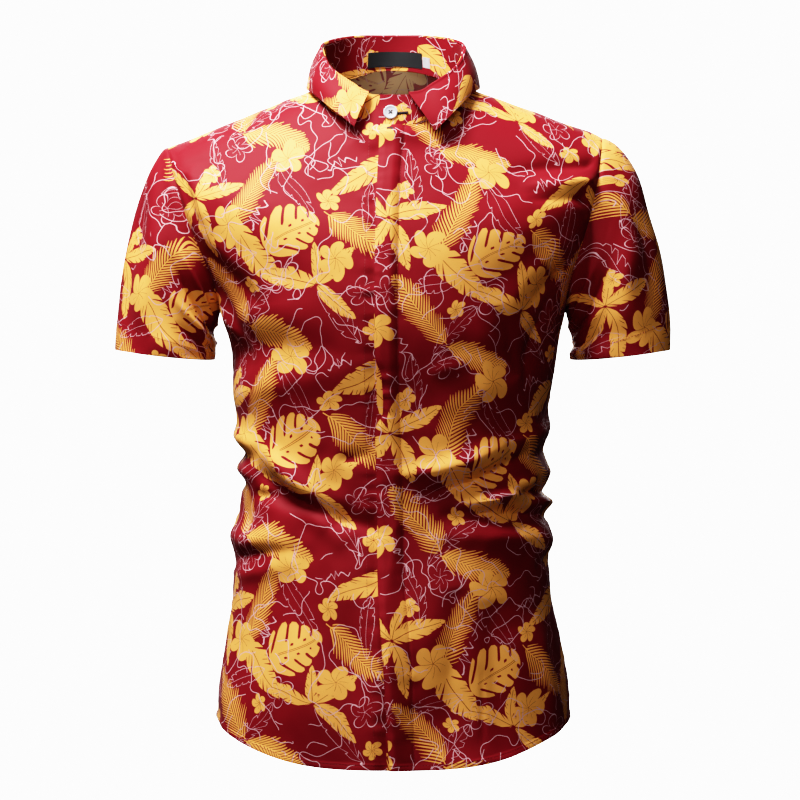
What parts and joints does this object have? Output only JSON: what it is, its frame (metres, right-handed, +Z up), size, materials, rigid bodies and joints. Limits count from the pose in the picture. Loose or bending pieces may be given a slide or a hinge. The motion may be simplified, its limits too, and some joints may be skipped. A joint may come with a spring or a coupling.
{
  "type": "short-sleeved printed shirt",
  "caption": "Short-sleeved shirt with a pointed collar and covered button front in a red and yellow tropical leaf print, filled out as worn with nobody inside.",
  "frame": {"origin": "midway between the two points where the shoulder seams meet the collar, on the line on which shoulders carry the shirt", "axes": "+Z up, -Y towards the buttoned front, +X towards the wearer's left"},
  "size_m": [0.5536, 0.2511, 0.7365],
  "materials": {
    "printed_cloth": "light woven cloth, slight sheen",
    "button_plastic": "pearly, polished",
    "label_tape": "woven tape",
    "tab_tape": "woven tape"
  },
  "bodies": {
    "root": {"right_front": "printed_cloth", "left_front": "printed_cloth", "back": "printed_cloth", "right_sleeve": "printed_cloth", "left_sleeve": "printed_cloth", "buttonhole_band": "printed_cloth", "collar_stand": "printed_cloth", "collar_leaf": "printed_cloth", "collar_button": "button_plastic", "front_button_1": "button_plastic", "front_button_2": "button_plastic", "front_button_3": "button_plastic", "front_button_4": "button_plastic", "front_button_5": "button_plastic", "front_button_6": "button_plastic", "neck_label": "label_tape", "size_tab": "tab_tape"}
  },
  "joints": []
}
